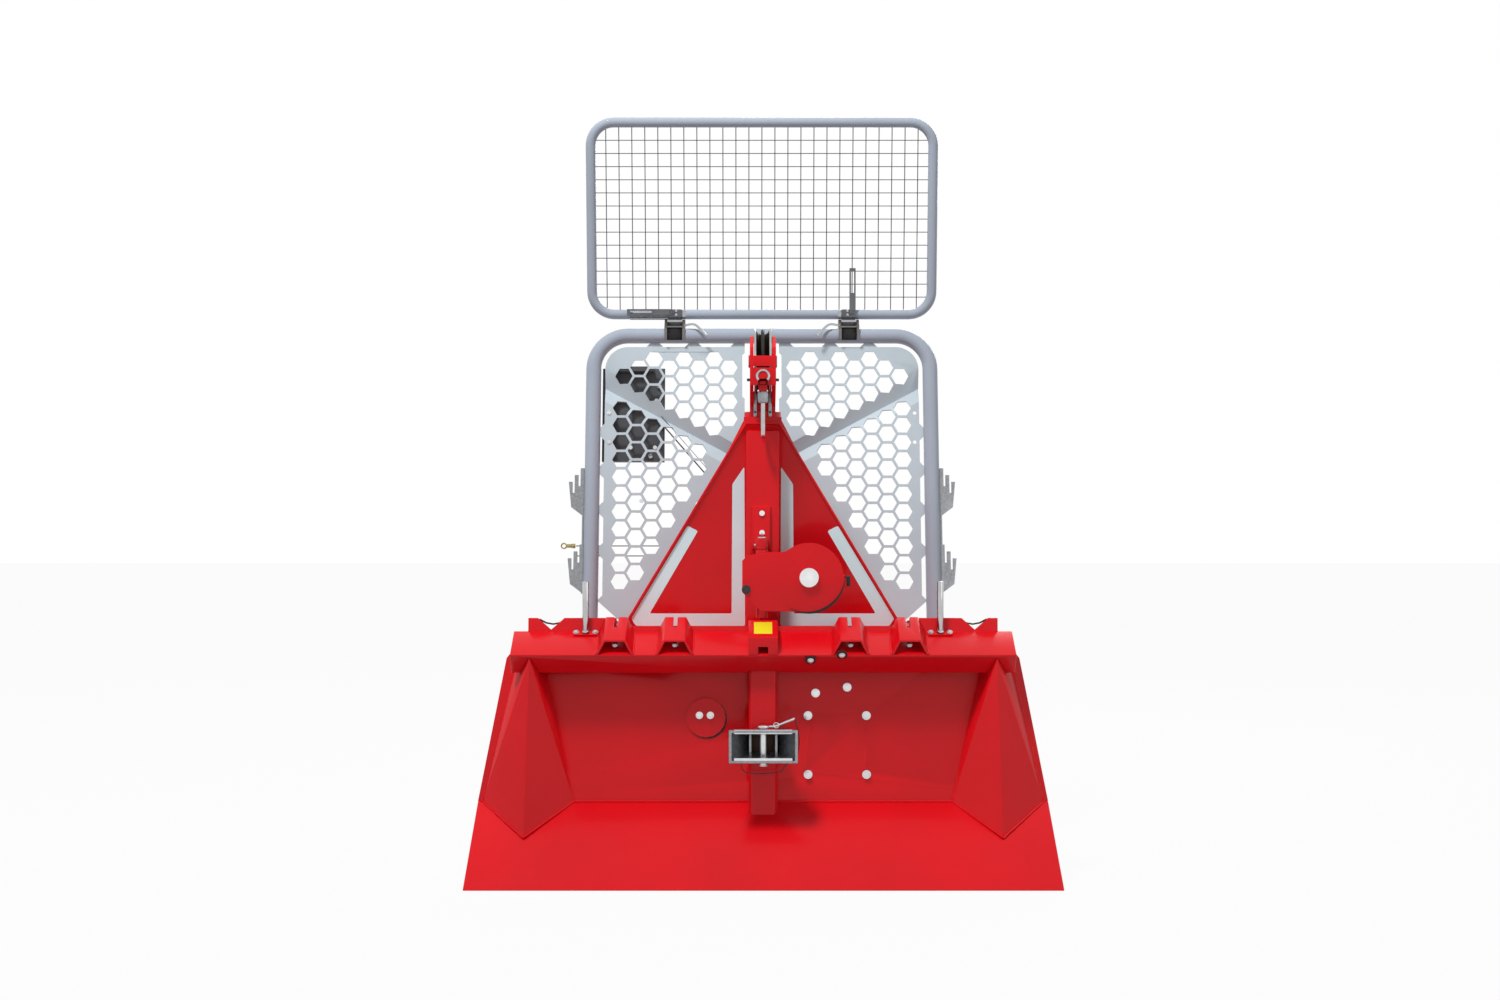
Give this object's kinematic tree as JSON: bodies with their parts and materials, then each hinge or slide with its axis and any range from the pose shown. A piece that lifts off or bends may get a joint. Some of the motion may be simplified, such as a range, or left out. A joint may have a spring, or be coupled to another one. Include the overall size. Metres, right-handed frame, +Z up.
{
  "type": "tractor forestry winch",
  "caption": "Three-point forestry winch with a dozer blade, an A-frame with a swinging side pulley and a swivelling top pulley, and a folding mesh guard over a hexagon panel.",
  "frame": {"origin": "centre of the footprint's box on the ground, between the blade's edge and the end of the input shaft's guard", "axes": "+Z up, the blade faces -Y, the tractor is at +Y, +X to the right seen from the blade side"},
  "size_m": [1.7, 0.88, 2.3243],
  "materials": {
    "red_paint": "gloss",
    "grey_paint": "satin",
    "zinc": "galvanised",
    "steel": "machined",
    "wire_rope": "stranded",
    "black_paint": "satin",
    "black_plastic": "matte"
  },
  "bodies": {
    "frame": {"toe_plate": "red_paint", "back_plate": "red_paint", "hood": "red_paint", "corner_gusset_right": "red_paint", "corner_gusset_left": "red_paint", "hitch_post": "red_paint", "hitch_jaw": "zinc", "chain_keeper_1": "red_paint", "chain_keeper_2": "red_paint", "chain_keeper_3": "red_paint", "chain_keeper_4": "red_paint", "centre_keeper": "red_paint", "hood_rod_left": "zinc", "hood_rod_right": "zinc", "deck": "red_paint", "side_plate_left": "red_paint", "side_plate_right": "red_paint", "bottom_plate": "red_paint", "rear_plate": "red_paint", "lower_link_pin_left": "zinc", "lower_link_pin_right": "zinc", "guard_beam": "red_paint", "mast": "red_paint", "a_frame_skin": "red_paint", "a_frame_tubes": "red_paint", "link_tower": "red_paint", "top_link_pin": "zinc", "drive_chain": "steel", "front_bearing": "steel", "rear_bearing": "steel", "brake_band": "steel", "input_guard": "black_plastic", "rope_riser": "wire_rope", "lower_guard_tube": "grey_paint", "lower_guard_panel": "grey_paint", "comb_bracket_left": "zinc", "comb_bracket_right": "zinc", "sheet_holder": "black_plastic", "hinge_clevis_left": "grey_paint", "hinge_clevis_right": "grey_paint"},
    "drum": {"drum": "steel", "rope_winding": "wire_rope", "drum_shaft": "steel"},
    "input_shaft": {"input_shaft": "steel"},
    "head": {"head": "red_paint", "head_rope": "wire_rope", "rope_hook": "zinc"},
    "top_sheave": {"top_sheave": "steel"},
    "swing_bracket": {"swing_bracket": "red_paint"},
    "side_pulley": {"side_pulley": "steel"},
    "hitch_pin": {"hitch_pin": "zinc"},
    "upper_guard": {"upper_guard_frame": "grey_paint", "upper_guard_mesh": "grey_paint"},
    "latch_left": {"latch_lever_left": "zinc"},
    "latch_right": {"latch_lever_right": "zinc"},
    "leg_left": {"parking_leg_left": "zinc"},
    "leg_right": {"parking_leg_right": "zinc"},
    "clutch_lever": {"clutch_lever": "black_paint"},
    "brake_lever": {"brake_lever": "black_paint"}
  },
  "joints": [
    {"name": "drum_spin", "type": "hinge", "parent": "frame", "child": "drum", "pos_m": [0.217, 0, 0.387], "axis": [0, 1, 0], "continuous": true},
    {"name": "input_spin", "type": "hinge", "parent": "frame", "child": "input_shaft", "pos_m": [-0.167, 0, 0.467], "axis": [0, 1, 0], "continuous": true},
    {"name": "head_swivel", "type": "hinge", "parent": "frame", "child": "head", "pos_m": [0, 0.005, 1.354], "axis": [0, 0, 1], "range_deg": [-100, 100]},
    {"name": "top_sheave_spin", "type": "hinge", "parent": "head", "child": "top_sheave", "pos_m": [0, -0.085, 1.518], "axis": [1, 0, 0], "continuous": true},
    {"name": "bracket_swing", "type": "hinge", "parent": "frame", "child": "swing_bracket", "pos_m": [-0.003, -0.182, 0.85], "axis": [0, 0, 1], "range_deg": [-150, 0]},
    {"name": "side_pulley_spin", "type": "hinge", "parent": "swing_bracket", "child": "side_pulley", "pos_m": [0.135, -0.186, 0.876], "axis": [0, 1, 0], "continuous": true},
    {"name": "hitch_pin_lift", "type": "slide", "parent": "frame", "child": "hitch_pin", "axis": [0, 0, 1], "range_m": [0, 0.095]},
    {"name": "upper_guard_fold", "type": "hinge", "parent": "frame", "child": "upper_guard", "pos_m": [0, 0.425, 1.672], "axis": [1, 0, 0], "range_deg": [-160, 0]},
    {"name": "latch_left_turn", "type": "hinge", "parent": "upper_guard", "child": "latch_left", "pos_m": [-0.292, 0.388, 1.708], "axis": [0, 1, 0], "range_deg": [0, 90]},
    {"name": "latch_right_turn", "type": "hinge", "parent": "upper_guard", "child": "latch_right", "pos_m": [0.292, 0.388, 1.708], "axis": [0, 1, 0], "range_deg": [0, 90]},
    {"name": "leg_left_slide", "type": "slide", "parent": "frame", "child": "leg_left", "axis": [0, 0, 1], "range_m": [0, 0.075]},
    {"name": "leg_right_slide", "type": "slide", "parent": "frame", "child": "leg_right", "axis": [0, 0, 1], "range_m": [0, 0.075]},
    {"name": "clutch_pull", "type": "hinge", "parent": "frame", "child": "clutch_lever", "pos_m": [0.03, 0.252, 0.56], "axis": [1, 0, 0], "range_deg": [-25, 0], "stiffness_Nm_per_rad": 2, "springref_deg": 17.19},
    {"name": "brake_pull", "type": "hinge", "parent": "frame", "child": "brake_lever", "pos_m": [0.096, 0.252, 0.56], "axis": [1, 0, 0], "range_deg": [-25, 0], "stiffness_Nm_per_rad": 2, "springref_deg": 17.19}
  ],
  "couplings": [
    {"joint": "input_spin", "follows": "drum_spin", "ratio": 3.6667}
  ]
}
